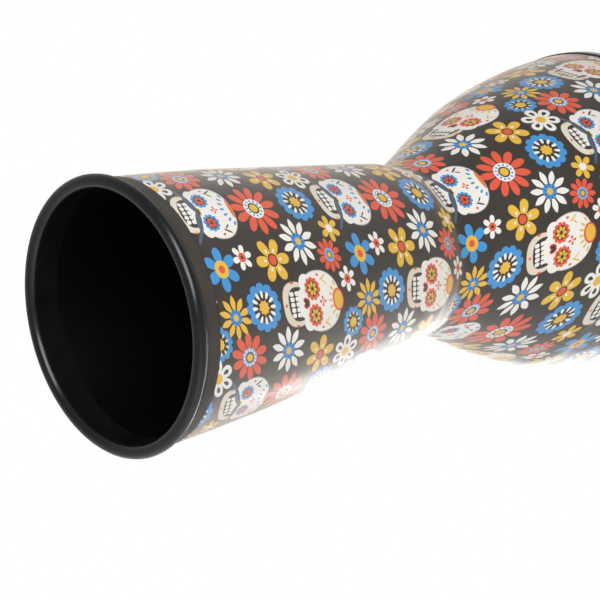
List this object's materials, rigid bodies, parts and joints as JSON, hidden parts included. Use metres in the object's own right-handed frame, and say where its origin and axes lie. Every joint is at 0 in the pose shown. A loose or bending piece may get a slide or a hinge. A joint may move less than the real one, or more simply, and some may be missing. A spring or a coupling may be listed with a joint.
{
  "type": "goblet drum",
  "caption": "Goblet hand drum (darbuka): cast shell with flared tail, tight waist and round bowl, printed floral film, black tail ring, film head under a bolted tension ring.",
  "frame": {"origin": "centre of the flat land under the tail ring, on the surface that the drum stands on", "axes": "+Z along the drum's axis from the tail to the head; the X axis runs midway between two tuning bolts"},
  "size_m": [0.2392, 0.2392, 0.462],
  "materials": {
    "black_lacquer": "black lacquer over cast aluminium, satin outside and matt inside",
    "printed_film": "printed film, bright flowers and skulls on a warm black ground, satin clear coat",
    "black_moulding": "black moulded ring, satin",
    "drumhead_film": "coated polyester film, translucent white, finely textured",
    "hoop_aluminium": "rolled aluminium channel",
    "black_enamel": "black enamel on cast aluminium, satin gloss",
    "black_steel": "black oxide steel",
    "washer_steel": "zinc-plated steel",
    "insert_brass": "turned brass, threaded"
  },
  "bodies": {
    "drum_body": {"shell": "black_lacquer", "printed_wrap": "printed_film", "tail_ring": "black_moulding", "drumhead_film": "drumhead_film", "flesh_hoop": "hoop_aluminium", "threaded_insert_1": "insert_brass", "threaded_insert_2": "insert_brass", "threaded_insert_3": "insert_brass", "threaded_insert_4": "insert_brass", "threaded_insert_5": "insert_brass", "threaded_insert_6": "insert_brass", "threaded_insert_7": "insert_brass", "threaded_insert_8": "insert_brass"},
    "tension_ring": {"tension_ring": "black_enamel", "bolt_washer_1": "washer_steel", "bolt_washer_2": "washer_steel", "bolt_washer_3": "washer_steel", "bolt_washer_4": "washer_steel", "bolt_washer_5": "washer_steel", "bolt_washer_6": "washer_steel", "bolt_washer_7": "washer_steel", "bolt_washer_8": "washer_steel"},
    "tuning_bolt_1": {"tuning_bolt_1": "black_steel"},
    "tuning_bolt_2": {"tuning_bolt_2": "black_steel"},
    "tuning_bolt_3": {"tuning_bolt_3": "black_steel"},
    "tuning_bolt_4": {"tuning_bolt_4": "black_steel"},
    "tuning_bolt_5": {"tuning_bolt_5": "black_steel"},
    "tuning_bolt_6": {"tuning_bolt_6": "black_steel"},
    "tuning_bolt_7": {"tuning_bolt_7": "black_steel"},
    "tuning_bolt_8": {"tuning_bolt_8": "black_steel"}
  },
  "joints": [
    {"name": "ring_tension", "type": "slide", "parent": "drum_body", "child": "tension_ring", "axis": [0, 0, 1], "range_m": [0, 0.006]},
    {"name": "tuning_bolt_1_turn", "type": "hinge", "parent": "tension_ring", "child": "tuning_bolt_1", "pos_m": [0.10347, 0.04286, 0.45], "axis": [0, 0, 1], "range_deg": [0, 2700]},
    {"name": "tuning_bolt_2_turn", "type": "hinge", "parent": "tension_ring", "child": "tuning_bolt_2", "pos_m": [0.04286, 0.10347, 0.45], "axis": [0, 0, 1], "range_deg": [0, 2700]},
    {"name": "tuning_bolt_3_turn", "type": "hinge", "parent": "tension_ring", "child": "tuning_bolt_3", "pos_m": [-0.04286, 0.10347, 0.45], "axis": [0, 0, 1], "range_deg": [0, 2700]},
    {"name": "tuning_bolt_4_turn", "type": "hinge", "parent": "tension_ring", "child": "tuning_bolt_4", "pos_m": [-0.10347, 0.04286, 0.45], "axis": [0, 0, 1], "range_deg": [0, 2700]},
    {"name": "tuning_bolt_5_turn", "type": "hinge", "parent": "tension_ring", "child": "tuning_bolt_5", "pos_m": [-0.10347, -0.04286, 0.45], "axis": [0, 0, 1], "range_deg": [0, 2700]},
    {"name": "tuning_bolt_6_turn", "type": "hinge", "parent": "tension_ring", "child": "tuning_bolt_6", "pos_m": [-0.04286, -0.10347, 0.45], "axis": [0, 0, 1], "range_deg": [0, 2700]},
    {"name": "tuning_bolt_7_turn", "type": "hinge", "parent": "tension_ring", "child": "tuning_bolt_7", "pos_m": [0.04286, -0.10347, 0.45], "axis": [0, 0, 1], "range_deg": [0, 2700]},
    {"name": "tuning_bolt_8_turn", "type": "hinge", "parent": "tension_ring", "child": "tuning_bolt_8", "pos_m": [0.10347, -0.04286, 0.45], "axis": [0, 0, 1], "range_deg": [0, 2700]}
  ],
  "couplings": [
    {"joint": "tuning_bolt_1_turn", "follows": "ring_tension", "rad_per_m": 7853.9},
    {"joint": "tuning_bolt_2_turn", "follows": "ring_tension", "rad_per_m": 7853.9},
    {"joint": "tuning_bolt_3_turn", "follows": "ring_tension", "rad_per_m": 7853.9},
    {"joint": "tuning_bolt_4_turn", "follows": "ring_tension", "rad_per_m": 7853.9},
    {"joint": "tuning_bolt_5_turn", "follows": "ring_tension", "rad_per_m": 7853.9},
    {"joint": "tuning_bolt_6_turn", "follows": "ring_tension", "rad_per_m": 7853.9},
    {"joint": "tuning_bolt_7_turn", "follows": "ring_tension", "rad_per_m": 7853.9},
    {"joint": "tuning_bolt_8_turn", "follows": "ring_tension", "rad_per_m": 7853.9}
  ]
}
